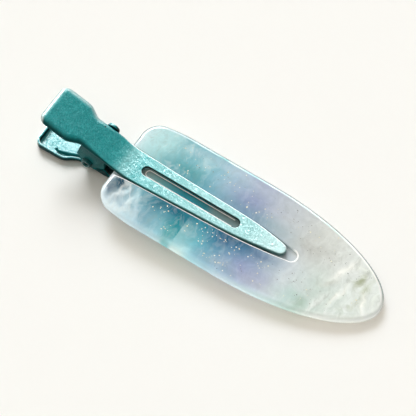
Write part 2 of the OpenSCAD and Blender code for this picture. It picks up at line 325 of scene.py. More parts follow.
# The acetate's bands of colour, by their distance from the plate's back edge, on its far and its near side
FAR_BANDS = [
    (0, (222, 240, 245)), (3, (193, 229, 233)), (6, (175, 219, 223)), (9, (133, 189, 199)), (12, (128, 188, 201)),
    (15, (127, 187, 201)), (18, (143, 190, 208)), (21, (165, 197, 215)), (27, (168, 179, 204)), (34, (192, 199, 208)),
    (43, (213, 216, 213)), (52, (225, 229, 227)), (60, (228, 234, 230)),
]
NEAR_BANDS = [
    (0, (188, 208, 220)), (5, (184, 211, 223)), (8, (154, 193, 208)), (11, (126, 171, 189)), (14.5, (129, 185, 199)),
    (18, (86, 168, 180)), (22, (106, 183, 200)), (27, (112, 161, 187)), (33, (158, 168, 197)), (37, (182, 189, 206)),
    (41, (208, 216, 222)), (47, (205, 218, 213)), (60, (228, 233, 228)),
]
# The tint of its clear rim, carrying a painted glow and a painted highlight, and of the groove's floor where it shows
# through the prong's slot, painted in shade and reflected teal
RIM_TINTS = [
    (0, (228, 238, 245)), (12, (206, 232, 244)), (15.9, (204, 234, 242)), (16.8, (140, 206, 212)),
    (17.88, (140, 206, 212)), (18.9, (232, 255, 255)), (20.7, (232, 255, 255)), (22.8, (192, 238, 250)),
    (26.4, (196, 230, 244)), (30, (222, 240, 255)), (39.6, (228, 250, 254)), (45, (206, 230, 222)),
    (49.8, (255, 255, 252)),
]
SLOT_FLOOR_TINTS = [
    (6, (132, 158, 158)), (9.6, (92, 156, 162)), (14.4, (12, 138, 156)), (19.8, (30, 134, 148)),
    (21.6, (104, 140, 144)), (27.6, (124, 150, 154)),
]
# How much it darkens beside the groove, along its far and its near side
FAR_SHADE = [(0, 0), (7.8, 0.7), (30, 0.75), (40.8, 0)]
NEAR_SHADE = [(0, 0), (7.2, 0.5), (10.2, 0.9), (18, 1), (30, 0.7), (40.8, 0)]
# How pearly it is, and how much painted shade darkens the groove's floor under the prong and painted shadow the gap
# beside it
PEARL = [(0, 0.8), (7.2, 0.6), (14.4, 0.25), (36, 0.12), (45, 0.4), (54, 1)]
GROOVE_FLOOR_SHADE = [(0, 0), (7.2, 0.1), (12, 0.6), (33, 0.6), (37.2, 0.35), (39, 0.05)]
GAP_SHADOW = [(2.4, 0), (5.4, 0.6), (8.4, 0.85), (36, 0.85), (37.8, 0.3), (39.6, 0)]
# The fold where the deep teal stops, the painted highlight ring under the slot, and where the shade beside the groove
# starts
FOLD_X, RING_FROM, RING_TO, RING_MIDDLE, RING_R, RING_HALF = 18.55, 6.4, 26.2, -0.04, 0.78, 0.11
GROOVE_SIDE = 3.6
# Pools and folds of colour in the sheet: middle x and y, half-length, half-width, turn, colour and strength
POOLS = [
    (12.4, -4.6, 3, 1.7, 0, (52, 112, 130), 0.6), (15.9, -4.6, 3.6, 1.9, 0, (0, 112, 140), 1),
    (17.3, -8.6, 1, 5, 0, (30, 150, 160), 0.85), (27.5, -4.3, 4.6, 1.7, 0, (46, 106, 150), 0.85),
    (27.5, -3.3, 5.5, 0.7, 0, (30, 84, 116), 0.6), (34.8, -3.1, 3, 1.3, 0, (118, 132, 168), 0.6),
    (32.5, -7.6, 4.4, 2.2, 0, (158, 164, 206), 0.5), (44, -8.4, 3.4, 1.8, 0, (178, 214, 208), 0.5),
    (28, -9.7, 3.4, 1, 0, (176, 196, 210), 0.4), (26.5, 5.2, 4.4, 2.2, 0, (140, 152, 192), 0.6),
    (20, 9.6, 10, 1.2, 0, (204, 214, 226), 0.35), (42, 3.6, 3.2, 2.6, 0, (184, 185, 182), 0.65),
    (12.6, 5, 3.4, 1.5, 0, (86, 166, 172), 0.65), (15.2, 7.7, 0.9, 1.3, 0, (196, 224, 230), 0.7),
    (10.4, 9.2, 0.8, 1.8, 30, (196, 226, 230), 0.5), (2.9, -5.2, 1.9, 2.8, 0, (30, 76, 98), 1),
    (1.7, -7.4, 0.8, 1.4, -20, (92, 114, 136), 0.8), (3.2, -8.4, 0.5, 2.2, 32, (236, 246, 252), 0.65),
    (4.6, -6.4, 0.45, 1.8, 20, (232, 244, 250), 0.9), (5.7, -5.4, 0.5, 1.3, 10, (146, 172, 188), 0.6),
    (4.1, -8, 0.35, 1.4, 25, (138, 164, 182), 0.5), (6.6, -7.6, 0.5, 2.6, 14, (234, 245, 250), 0.9),
    (7.4, -8.8, 0.4, 1.3, 20, (152, 182, 196), 0.5), (7.7, -5.6, 0.5, 1.6, -25, (226, 240, 246), 0.85),
    (8.8, -8, 0.45, 2.2, -12, (206, 226, 236), 0.6), (5.4, -9.4, 0.35, 1.3, 60, (150, 180, 198), 0.5),
    (20.3, -10.6, 2, 1.5, 0, (214, 250, 252), 0.85), (3.4, -10.9, 2.4, 1, 0, (242, 252, 255), 0.75),
    (7.9, -9.7, 1.4, 1.2, 0, (208, 228, 236), 0.7), (17.1, -10.7, 0.9, 1.9, 0, (74, 160, 166), 0.85),
    (45.4, -8.2, 1.3, 1.2, 0, (158, 182, 166), 0.6), (48, -6.6, 0.8, 3.4, 24, (240, 244, 242), 0.75),
    (50.2, 3, 0.8, 3.2, 30, (252, 253, 249), 0.9), (51.6, -2.6, 0.6, 2.8, 18, (250, 251, 246), 0.8),
    (48.6, -1, 0.5, 2.2, 40, (202, 204, 196), 0.55), (54, 2.4, 0.55, 2, -8, (162, 170, 136), 0.85),
    (55.6, 1.4, 0.45, 2.6, -4, (172, 182, 150), 0.75), (56.6, -1.4, 0.5, 2.4, -22, (252, 253, 248), 0.85),
    (54.6, -3.2, 0.5, 1.8, 34, (198, 204, 188), 0.5), (53, 5.2, 0.5, 1.6, 40, (242, 246, 240), 0.7),
    (57.8, 1.8, 0.4, 2, -14, (240, 246, 240), 0.6),
]


def pearl_acetate():
    """Marbled acetate: bands of colour across the sheet, pools and pearly veils in it, and a clear light rim."""
    f = Finish("pearl_acetate")
    sheet = f.plate_place()
    drift = f.noise(sheet, 0.16, 3, 0.55, output="Color")
    drifted = f.vector("ADD", sheet, f.vector("SCALE", f.vector("SUBTRACT", drift, MIDDLE_GREY), 5))
    fine = f.noise(drifted, 0.9, 4, 0.6, 0.6)
    x, y, z = f.axes(sheet)
    loose_x, loose_y = f.axes(drifted)[:2]
    colour = f.mix((loose_y * 0.16 + 0.5).clamped(), f.along(loose_x, NEAR_BANDS), f.along(loose_x, FAR_BANDS))
    for pool_x, pool_y, half_x, half_y, turn, tint, strength in POOLS:
        cos, sin = math.cos(math.radians(turn)), math.sin(math.radians(turn))
        dx, dy = loose_x - pool_x, loose_y - pool_y
        if turn:
            dx, dy = dx * cos - dy * sin, dx * sin + dy * cos
        dx, dy = dx * (1 / half_x), dy * (1 / half_y)
        pool = 2.718 ** ((dx * dx + dy * dy) * -0.9) * strength
        colour = f.mix(pool, colour, srgb(*tint))
    # the sheet is darkest beside the groove and lightest at its near side
    for fall, shade, tint, side in (
        (0.36, FAR_SHADE, (0.45, 0.70, 0.74), 1),
        (0.2, NEAR_SHADE, (0.12, 0.62, 0.68), -1),
    ):
        beside = (1 - (abs(y) - GROOVE_SIDE) * fall).clamped() * (y * side > 0)
        colour = f.mix(beside * f.along(x, shade), colour, tint, "MULTIPLY")
    outer = ((-9.4 - y) * 0.6).clamped()
    colour = f.mix(outer * 0.25, colour, srgb(212, 242, 255))
    # a sharp fold where the deep teal stops
    past_fold = x + fine * 0.5 - FOLD_X
    near_only = ((-GROOVE_SIDE - y) * 0.3).clamped()
    fold = (past_fold * 6).clamped() * (1 - (past_fold - 0.05) * 0.2).clamped() * (near_only * 0.6)
    colour = f.mix(fold, colour, srgb(168, 212, 218))
    # pearly veils, strongest at both ends of the plate
    stretch = {"Rotation": (0, 0, math.radians(24)), "Scale": (0.34, 0.13, 0.3)}
    silk = f.noise(f.term("ShaderNodeMapping", stretch, n0=drifted), 1, 6, 0.62, 1.6)
    pearl = f.along(x, PEARL)
    colour = f.mix(f.ramp(silk, [(0.50, 0), (0.68, 1)]) * pearl * 0.75, colour, srgb(238, 243, 242))
    colour = f.mix(f.ramp(silk, [(0.32, 1), (0.46, 0)]) * pearl * 0.5, colour, srgb(162, 169, 160))
    colour = f.mix(1, colour, f.ramp(fine, [(0.3, 0.93), (0.7, 1.06)]), "MULTIPLY")
    # the clear rim, by how far a point lies inside the outline: painted glow on the near side, a painted highlight line
    # on the far side
    inset = f.attribute("inset_mm")
    far_rim = f.ramp(inset * 0.5, [(0, 0.2), (0.22, 0.2), (0.27, 1), (0.40, 1), (0.44, 0)])
    near_rim = f.ramp(inset * 0.5, [(0, 1), (0.15, 0.75), (0.4, 0.2), (0.7, 0)])
    rim = f.mix((y * 0.3 + 0.2).clamped(), near_rim, far_rim)
    colour = f.mix(rim * 0.92, colour, f.along(x, RIM_TINTS))
    # painted shade: the far wall, seen edge-on, is painted as a thin grey line
    far_wall = (inset < 0.42) * ((y - 0.5) * 0.22).clamped()
    colour = f.mix(far_wall * 0.85, colour, srgb(104, 120, 124))
    # painted highlight: the groove's lip is painted white; painted shade darkens its floor, most of all in the near gap
    colour = f.mix(f.attribute("lip") * 0.95, colour, WHITE)
    in_groove = (z < -0.4) * (inset > 2.5)
    colour = f.mix(in_groove * f.along(x, GROOVE_FLOOR_SHADE), colour, srgb(46, 100, 108))
    colour = f.mix(in_groove * (f.along(x, GAP_SHADOW) * (y < -1.5)), colour, srgb(4, 30, 34))
    # what shows through the prong's slot: painted shade and reflected teal in tints along it, and a painted highlight
    # ring
    past_end = (RING_FROM - x).at_least(x - RING_TO).at_least(0)
    off_line = y - RING_MIDDLE
    off_slot = (past_end * past_end + off_line * off_line).root()
    colour = f.mix(in_groove * (off_slot < 1.3), colour, f.along(x, SLOT_FLOOR_TINTS))
    ring = (abs(off_slot - RING_R) < RING_HALF) * (x < RING_TO)
    colour = f.mix(in_groove * ring, colour, WHITE)
    ripple = f.term("ShaderNodeBump", {"Strength": 0.15, "Distance": 0.0003}, Height=f.noise(sheet, 0.35, 2))
    return f.finished(
        {
            "IOR": 1.48, "Specular IOR Level": 0.25, "Coat Weight": 0.2, "Coat Roughness": 0.03,
            "Subsurface Weight": 0.25, "Subsurface Radius": (1, 1, 1), "Subsurface Scale": 0.0008,
        },
        Base_Color=colour, Roughness=fine * 0.08 + 0.1, Normal=ripple,
    )


# ------------ the acetate plate
def plate_half_at(x):
    if x < FLANK_L:
        return PLATE_HALF - FLANK_IN * ((FLANK_L - x) / FLANK_L) ** 2
    return PLATE_HALF


def plate_edge(count_side=18, count_nose=40):
    """Points round one half of the plate's outline, from the back corner to just before the nose's end."""
    corner_x = CORNER_R * (1 + math.cos(math.radians(CORNER_END)))
    corner_y = plate_half_at(corner_x) - CORNER_R * math.sin(math.radians(CORNER_END))
    belly = PLATE_L - NOSE_L
    sides = [corner_x + (belly - corner_x) * i / count_side for i in range(1, count_side)]
    nose = [math.pi / 2 * (1 - i / count_nose) for i in range(count_nose)]
    points = bow(CORNER_R, corner_y, CORNER_R, 180, CORNER_END, 14) + [(x, plate_half_at(x)) for x in sides]
    return points + [(belly + NOSE_L * math.cos(a), PLATE_HALF * math.sin(a)) for a in nose]


# The groove that the prong lies in: how far it reaches from the middle line on its two sides
GROOVE_NEAR = [
    (-3, 5.2), (0, 4.55), (1.2, 4.38), (4, 4.08), (8.9, 3.84), (14, 3.62), (20.5, 3.36), (28, 2.96), (31.7, 2.63),
    (37, 1.93), (39.4, 1.5),
]
GROOVE_FAR = [(-3, 3.85), (0, 3.6), (4, 3.35), (8, 3.13), (16, 2.85), (26, 2.64), (31, 2.42), (34.8, 2.1), (39.4, 1.5)]
GROOVE_START, GROOVE_END, GROOVE_TIP_R, GROOVE_D, GROOVE_FLARE = -3, 41, 1.5, 0.7, 0.24


def flared(flare, top):
    """How far a cutter that rounds an edge over reaches out at each height, from the top down."""
    turns = [math.radians(18 * k) for k in range(6)]
    return [(flare * (1 - math.sin(a)), top - flare * (1 - math.cos(a))) for a in turns]


def smooth_row(rows, x):
    """Height of a smooth curve through a table's rows at x."""
    i = max(0, min(len(rows) - 2, sum(1 for r in rows[1:] if r[0] <= x)))

    def slope(k):
        a, b = rows[max(k - 1, 0)], rows[min(k + 1, len(rows) - 1)]
        return (b[1] - a[1]) / (b[0] - a[0])

    a, b = rows[i], rows[i + 1]
    h = b[0] - a[0]
    u = (x - a[0]) / h
    if u < 0:
        return a[1] + slope(i) * (x - a[0])
    if u > 1:
        return b[1] + slope(i + 1) * (x - b[0])
    return (
        a[1] * (1 + 2 * u) * (1 - u) ** 2 + b[1] * u ** 2 * (3 - 2 * u)
        + h * (slope(i) * u * (1 - u) ** 2 - slope(i + 1) * u ** 2 * (1 - u))
    )


def worked(piece, steps):
    """What a piece's mesh becomes once other meshes are joined to it or cut out of it: steps are pairs of an
    operation and a mesh."""
    tools = []
    for operation, bm in steps:
        work = piece.modifiers.new("work", "BOOLEAN")
        work.object, work.operation, work.solver = plain_mesh(bm, "tool"), operation, "EXACT"
        tools.append(work.object)
    finished = bpy.data.meshes.new_from_object(piece.evaluated_get(bpy.context.evaluated_depsgraph_get()))
    piece.modifiers.clear()
    for tool in tools:
        bpy.data.objects.remove(tool)
    return finished


def inset_of(p, outline):
    """How far a point of the plate lies inside its outline."""
    best = 1e9
    for i, (ax, ay) in enumerate(outline):
        bx, by = outline[(i + 1) % len(outline)]
        dx, dy = bx - ax, by - ay
        t = max(0, min(1, ((p.x - ax) * dx + (p.y - ay) * dy) / (dx * dx + dy * dy)))
        best = min(best, math.hypot(p.x - ax - t * dx, p.y - ay - t * dy))
    return best


def make_plate(material):
    """The plate: a slab with rounded edges, and the groove cut out of its top with a flared lip."""
    half = plate_edge()
    outline = half + [(PLATE_L, 0)] + mirrored(half)
    bm = pulled([[(x, y, z) for x, y in outline] for z in (-PLATE_T, 0)])
    rims = [e for e in bm.edges if abs(e.verts[0].co.z - e.verts[1].co.z) < 1e-6]
    bmesh.ops.bevel(bm, geom=rims, offset=EDGE_R, segments=8, profile=0.5, affect="EDGES", material=-1)
    for thickness in (0.25, 0.6):
        top = max(bm.faces, key=lambda face: face.calc_center_median().z * 1000 + face.calc_area())
        bmesh.ops.inset_region(bm, faces=[top], thickness=thickness, use_even_offset=True)
    plate = new_piece(bm, "acetate_tongue_plate", material, None)
    tip_x = GROOVE_END - GROOVE_TIP_R
    xs = [GROOVE_START + (tip_x - 0.4 - GROOVE_START) * i / 40 for i in range(41)]
    groove = [(x, smooth_row(GROOVE_FAR, x)) for x in xs] + bow(tip_x, 0, GROOVE_TIP_R, 75, -75, 15)
    groove += [(x, -smooth_row(GROOVE_NEAR, x)) for x in reversed(xs)]
    levels = [(GROOVE_FLARE + 0.06, 3), (GROOVE_FLARE + 0.06, -0.003), *flared(GROOVE_FLARE, -0.004)]
    levels += [(0, -GROOVE_D + 0.1), (-0.03, -GROOVE_D + 0.03), (-0.1, -GROOVE_D)]
    cutter = stepped(groove, [(out - GROOVE_FLARE, z) for out, z in levels])
    cutter.transform(AT_REST)
    plate.data = worked(plate, [("DIFFERENCE", cutter)])
    inset = plate.data.attributes.new("inset_mm", "FLOAT", "POINT")
    lip = plate.data.attributes.new("lip", "FLOAT", "POINT")
    for v in plate.data.vertices:
        p = FROM_REST @ v.co
        inset.data[v.index].value = inset_of(p, outline)
        # where the groove's lip gets its painted highlight
        on_lip = inset_of(p, groove) < 0.25 and -0.25 < p.z < -0.0035 and (p.y < 0 or p.x > 39.2) and p.x > 0.6
        lip.data[v.index].value = 1.0 if on_lip else 0.0
    plate.data.set_sharp_from_angle(angle=math.radians(40))
    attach(plate, "lower")
    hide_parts("acetate_plate")
    keep_flats_flat(plate)
    return plate


# ------------ the two pressed jaws
# The sheet's thickness, and along x the half-widths and heights that the two jaws take
SHEET_T = 0.6
LEVER_BACK, PAD_CORNER_R, PRONG_END, PRONG_TIP_R, PRONG_Z, RIM_D = -17.22, 1.6, 38.3, 1.25, 0.35, 0.95
LEVER_SLOPE, BEND_X, BEND_R = math.radians(18), 0.35, 18.0
TONGUE_END, TONGUE_TIP_R, TRAY_RIM_Z = 36, 1.6, -4.85

UPPER_ROWS = [
    (-17.3, 4.8), (-13.5, 4.88), (-10.7, 4.8), (-9.5, 4.2), (-8.2, 3.5), (-6.5, 3.5), (-2.2, 3.5), (0.4, 3.25),
    (8, 2.95), (16, 2.69), (26, 2.47), (31, 2.18), (34.8, 1.69), (36.9, 1.33),
]
# How much further the prong reaches on its near side than on its far side
NEAR_REACH_ROWS = [
    (-4, 0), (-2.2, 0.03), (0, 0.28), (3, 0.62), (6, 0.68), (10, 0.64), (14, 0.6), (18, 0.48), (22, 0.4),
    (26, 0.3), (30, 0.14), (33, 0), (38, 0),
]
TONGUE_ROWS = [(-4.6, 3.3), (-1, 3.35), (1.5, 2.8), (16, 2.6), (28, 2.3), (34.5, 1.6)]
LOWER_NEAR_ROWS = [(-18.7, 5.05), (-15, 5.05), (-11.6, 4.9), (-10, 3.95), (-8.6, 3.35), (-7.6, 3.3)] + TONGUE_ROWS
LOWER_FAR_ROWS = [
    (-18.7, 4.85), (-15, 4.9), (-11.6, 4.85), (-10.4, 4.5), (-9.3, 4.3), (-8.6, 3.75), (-7.9, 3.3), *TONGUE_ROWS,
]
NECK_RISE_ROWS = [(-5, 0), (-3, 0.05), (-1.2, 0.4), (0.2, 1.4), (1.6, 2.6), (2.6, 3.2)]
RIM_ROWS = [
    (HEEL[0], TRAY_RIM_Z), (-12, TRAY_RIM_Z), (-9.6, TRAY_RIM_Z), (-8.4, -5.05), (-7.6, -5.3), (-5.2, -5.3),
    (-4.6, -4.95), (-3.6, -4.1), (-2.7, -3.5), (-2.1, -3.7), (-1.55, -4.5), (-0.9, -4.7),
]


def ramped(a, b, x):
    """A smooth step from 0 at a to 1 at b."""
    u = max(0, min(1, (x - a) / (b - a)))
    return u * u * (3 - 2 * u)


def upper_top(x):
    """Top face of the upper jaw."""
    reach = BEND_R * math.tan(LEVER_SLOPE / 2)
    begins, ends = BEND_X - reach * math.cos(LEVER_SLOPE), BEND_X + reach
    if x > ends:
        return PRONG_Z
    if x < begins:
        return PRONG_Z + (BEND_X - x) * math.tan(LEVER_SLOPE)
    return PRONG_Z + BEND_R - math.sqrt(BEND_R ** 2 - (ends - x) ** 2)


def lower_under(x):
    """Underside of the lower jaw."""
    tray = HEEL[1] + (x - HEEL[0]) * math.tan(TILT)
    if x < NECK_RISE_ROWS[0][0]:
        return tray
    return min(-PLATE_T - 0.05 - SHEET_T, tray + smooth_row(NECK_RISE_ROWS, x))


def rim_height(x):
    """Height of the lower jaw's wall above its underside."""
    if x > RIM_ROWS[-1][0]:
        return SHEET_T
    return max(SHEET_T, smooth_row(RIM_ROWS, x) - lower_under(x))


def bow(cx, cy, r, start, end, steps):
    """Points along an arc, its angles in degrees."""
    turns = [math.radians(start + (end - start) * i / steps) for i in range(steps + 1)]
    return [(cx + r * math.cos(a), cy + r * math.sin(a)) for a in turns]


def side_line(rows, start, end, step):
    """Points along one side of a sheet."""
    count = math.ceil((end - start) / step)
    xs = [start + (end - start) * i / count for i in range(count + 1)]
    return [(x, smooth_row(rows, x)) for x in xs]


def mirrored(points):
    return [(x, -y) for x, y in reversed(points)]


def upper_outline():
    back = LEVER_BACK + PAD_CORNER_R
    tip_x = PRONG_END - PRONG_TIP_R
    half = bow(back, smooth_row(UPPER_ROWS, back) - PAD_CORNER_R, PAD_CORNER_R, 180, 90, 10)
    half += side_line(UPPER_ROWS, back + 0.5, 4, 0.4) + side_line(UPPER_ROWS, 5, tip_x - 0.2, 1.2)
    half += bow(tip_x, 0, PRONG_TIP_R, 72, 6, 10)
    reach_from, reach_to = NEAR_REACH_ROWS[0][0], NEAR_REACH_ROWS[-2][0]
    near = [(x, y - (smooth_row(NEAR_REACH_ROWS, x) if reach_from < x < reach_to else 0)) for x, y in mirrored(half)]
    return half + [(PRONG_END, 0)] + near


def lower_outline():
    back = HEEL[0] + PAD_CORNER_R
    tip_x = TONGUE_END - TONGUE_TIP_R
    corner = bow(back, smooth_row(LOWER_NEAR_ROWS, back) - PAD_CORNER_R, PAD_CORNER_R, 180, 90, 10)

    def half(rows):
        return corner + side_line(rows, back + 0.5, 3, 0.35) + side_line(rows, 4, tip_x - 0.3, 1.6)

    return half(LOWER_FAR_ROWS) + bow(tip_x, 0, TONGUE_TIP_R, 75, -75, 12) + mirrored(half(LOWER_NEAR_ROWS))


def drawn_in(points, amount):
    """A closed outline moved in by amount(x), keeping its number of corners."""
    out = []
    for i, here in enumerate(points):
        a, p, b = Vector(points[i - 1]), Vector(here), Vector(points[(i + 1) % len(points)])
        before, after = (p - a).normalized(), (b - p).normalized()
        mitre = (before + after).normalized()
        inward = Vector((mitre.y, -mitre.x))
        stretch = 1 / max(0.5, mitre.dot(after))
        out.append(p + inward * amount(p.x) * stretch)
    return out


def extruded_on(bm, ring, edges, places):
    """Extrudes an open ring of edges and sets the new ring's corners on places."""
    grown = bmesh.ops.extrude_edge_only(bm, edges=edges)["geom"]
    fresh = {g for g in grown if isinstance(g, bmesh.types.BMVert)}
    follow = [next(e.other_vert(v) for e in v.link_edges if e.other_vert(v) in fresh) for v in ring]
    for v, place in zip(follow, places):
        v.co = place
    return follow, [g for g in grown if isinstance(g, bmesh.types.BMEdge)]


def pulled(rings):
    """A closed shape pulled from ring to ring, capped at both ends."""
    bm = bmesh.new()
    ring = bmesh.ops.create_circle(bm, cap_ends=True, segments=len(rings[0]), radius=1)["verts"]
    for v, place in zip(ring, rings[0]):
        v.co = place
    edges = bm.edges[:]
    for places in rings[1:]:
        ring, edges = extruded_on(bm, ring, edges, places)
    bmesh.ops.contextual_create(bm, geom=edges)
    bmesh.ops.recalc_face_normals(bm, faces=bm.faces[:])
    return bm


def stepped(outline, levels):
    """A cutter that reaches out beyond an outline by so much at each height."""
    return pulled([[(p.x, p.y, z) for p in drawn_in(outline, lambda x, out=out: -out)] for out, z in levels])


# The steps of a quarter turn over a bend, and how far the sheet's cut edge is rounded
QUARTER = [math.radians(90 * k / 7) for k in range(8)]
LIP = 0.2


def upper_bend(x):
    """How far the upper jaw's top rounds over: wide round the finger pad, tight along the prong."""
    return 0.3 + 1.1 * (1 - ramped(-9.5, -1.5, x))


def upper_drop(x):
    return 0.3 + 0.4 * (1 - ramped(-9.5, -1.5, x))


def lower_bend(x):
    return 0.2 + 0.4 * (1 - ramped(-6, 0, x))


def sheet_rings(outline, outer, drop, height, level):
    """Rings over a pressed tray: its face, its bend and wall outside, its rolled lip, and its wall and floor inside.
    outer(x) and drop(x) are the bend's width and depth, height(x) the wall's height, and level(x, h) the real
    height of a corner."""

    def ring(inset, rise):
        places = drawn_in(outline, inset)
        return [(p.x, p.y, level(p.x, rise(x))) for p, (x, _) in zip(places, outline)]

    def spare(x):
        return height(x) - SHEET_T

    def floor_r(x):
        return max(0.12, drop(x) - SHEET_T)

    def inside(a):
        return ring(
            lambda x: SHEET_T + floor_r(x) * (1 - math.sin(a)),
            lambda x: SHEET_T + min(floor_r(x), 0.45 * spare(x)) * (1 - math.cos(a)),
        )

    def lip_drop(x):
        return min(LIP, 0.45 * spare(x))

    rings = [
        ring(lambda x, a=a: outer(x) * (1 - math.sin(a)), lambda x, a=a: drop(x) * (1 - math.cos(a))) for a in QUARTER
    ]
    rings += [
        ring(lambda x: 0, lambda x: height(x) - LIP),
        ring(lambda x: 0.3 * LIP, lambda x: height(x) - 0.3 * LIP),
        ring(lambda x: LIP, height),
        ring(lambda x: SHEET_T - LIP, height),
        ring(lambda x: SHEET_T - 0.3 * LIP, lambda x: height(x) - 0.3 * lip_drop(x)),
        ring(lambda x: SHEET_T - 0.01, lambda x: height(x) - lip_drop(x)),
    ]
    return rings + [inside(math.radians(a)) for a in (90, 67.5, 45, 22.5, 0)]


def mark_turned(piece, slope, ear_top):
    """Notes on each corner how far its face turns away from the sheet's own level: 0 on the flat, 1 on a wall.
    The near side's bends count from where they begin, as painted shade, and the ears a little less.
    A second note marks where painted highlights lie: the prong's far edge and the pad's back and far bends."""
    turned = piece.data.attributes.new("turned", "FLOAT", "POINT")
    painted_highlight = piece.data.attributes.new("painted_highlight", "FLOAT", "POINT")
    for v in piece.data.vertices:
        p = FROM_REST @ v.co
        n = v.normal
        lean = slope(p.x)
        level, uphill = Vector((math.sin(lean), 0, math.cos(lean))), Vector((-math.cos(lean), 0, math.sin(lean)))
        away = 1 - ramped(0.3, 0.85, abs(n.dot(level)))
        on_ear = p.z < ear_top(p.x)
        most = 0.72 if on_ear else 1 - 0.24 * ramped(-2, 6, p.x)
        # painted shade: on the near side the bends count as turned from where they begin
        begins = 0.02 + 0.28 * ramped(-3, 1, p.x)
        turned.data[v.index].value = min(most, max(away, ramped(begins, begins + 0.58, -n.y)))
        if n.dot(level) < 0.1 or on_ear:
            continue
        # painted highlights where these edges would catch the gloss lamps
        prong = ramped(0.12, 0.4, n.y) * ramped(-3, 1, p.x)
        back = ramped(0.15, 0.45, n.dot(uphill)) * (1 - ramped(0.6, 0.9, n.dot(uphill))) * (1 - ramped(-15, -12, p.x))
        side = ramped(0.15, 0.4, n.y) * (1 - ramped(0.55, 0.85, n.y)) * (1 - ramped(-9, -5, p.x))
        painted_highlight.data[v.index].value = max(0.95 * prong, 0.6 * back, 0.4 * side)


def crosscut(bm, xs):
    """Cuts the two large faces of a tray across at each x, so that they can bend."""
    for x in xs:
        caps = [f for f in bm.faces if f.calc_area() > 0.4 and abs(f.normal.z) > 0.7]
        geom = list({v for f in caps for v in f.verts}) + list({e for f in caps for e in f.edges}) + caps
        bmesh.ops.bisect_plane(bm, geom=geom, plane_co=(x, 0, 0), plane_no=(1, 0, 0), dist=0.02)


def rod(bm, x, z, r, y0, y1, segments, capped=False):
    """A round rod that runs straight across the clip."""
    bmesh.ops.create_cone(
        bm, cap_ends=capped, segments=segments, radius1=r, radius2=r, depth=y1 - y0,
        matrix=Matrix.Translation((x, (y0 + y1) / 2, z)) @ Matrix.Rotation(math.pi / 2, 4, "X"),
    )


def lobe(rounds, y0, y1):
    """A flat ear between two planes, whose outline runs tightly round some circles."""
    bm = bmesh.new()
    for x, z, r in rounds:
        rod(bm, x, z, r, y0, y1, 48 if r > 0.5 else 12)
    hull = bmesh.ops.convex_hull(bm, input=bm.verts[:])
    spare = [g for g in hull["geom_interior"] + hull["geom_unused"] if isinstance(g, bmesh.types.BMVert)]
    bmesh.ops.delete(bm, geom=list(set(spare)), context="VERTS")
    bmesh.ops.dissolve_limit(
        bm, angle_limit=math.radians(0.4), verts=bm.verts[:], edges=bm.edges[:], use_dissolve_boundaries=False
    )
    rims = [e for e in bm.edges if len(e.link_faces) == 2 and e.calc_face_angle(0) > math.radians(60)]
    bmesh.ops.bevel(
        bm, geom=rims, offset=0.08, segments=2, profile=0.5, affect="EDGES", material=-1, clamp_overlap=False
    )
    bmesh.ops.recalc_face_normals(bm, faces=bm.faces[:])
    return bm


def combined(base_bm, steps):
    """One solid out of several, worked in millimetres."""
    base = plain_mesh(base_bm, "pressing")
    bm = bmesh.new()
    bm.from_mesh(worked(base, steps))
    bpy.data.objects.remove(base)
    return bm


def pin_bore(r):
    """The drill for the pin's holes."""
    bm = bmesh.new()
    rod(bm, *PIVOT, r, -15, 15, 64, capped=True)
    return bm


def slot_punch():
    """The punch that leaves the slot, flared at the top so that the slot's edge is rounded over."""
    r, flare = SLOT_WIDE / 2, 0.13
    outline = bow(SLOT_FROM + r, SLOT_MIDDLE, r, 270, 90, 16) + bow(SLOT_TO - r, SLOT_MIDDLE, r, 90, -90, 16)
    return stepped(outline, [(flare, 1), *flared(flare, PRONG_Z), (0, -1.2)])


# The ears' outlines run round these circles: x, z and radius
UPPER_EAR = [
    (*PIVOT, 1.85), (-8, -2.05, 1), (-2.65, -2.2, 0.35), (-7.6, upper_top(-7.6) - 0.8, 0.3),
    (-2.55, upper_top(-2.55) - 0.8, 0.3),
]
NEAR_EAR = [(*PIVOT, 1.9), (-7.4, -5.3, 0.1), (-4.7, -5.3, 0.1)]
FAR_EAR = [(*PIVOT, 1.9), (-5, 0.85, 1.35)]
FAR_ARM = [(-7.2, -4.05, 1), (-10.4, -5.7, 0.2), (-10.4, -5.05, 0.2)]
# Between which y the ears stand, and where the faces are cut across so that they can bend
UPPER_EAR_NEAR, UPPER_EAR_FAR = -3.5, 2.9
LOWER_EAR_NEAR, LOWER_EAR_FAR = (-2.7, -2.1), (3.7, 4.3)
UPPER_CUTS = [-2.9 + 0.3 * k for k in range(23)]
LOWER_CUTS = [-5.2 + 0.36 * k for k in range(24)]


def make_upper_jaw(material):
    """One pressed sheet: finger pad with its rim turned down, two ears, and the slotted prong."""
    bm = pulled(sheet_rings(upper_outline(), upper_bend, upper_drop, lambda x: RIM_D, lambda x, h: -h))
    crosscut(bm, UPPER_CUTS)
    for v in bm.verts:
        v.co.z += upper_top(v.co.x)
    steps = [("UNION", lobe(UPPER_EAR, y, y + SHEET_T)) for y in (UPPER_EAR_NEAR, UPPER_EAR_FAR)]
    steps += [("DIFFERENCE", pin_bore(PIN_R + 0.05)), ("DIFFERENCE", slot_punch())]
    jaw = new_piece(combined(bm, steps), "upper_lever_and_prong", material, "upper", "upper_jaw", 38)
    mark_turned(jaw, lambda x: TILT + LEVER_SLOPE * (1 - ramped(-2.5, 3.2, x)), lambda x: upper_top(x) - RIM_D - 0.05)
    keep_flats_flat(jaw)


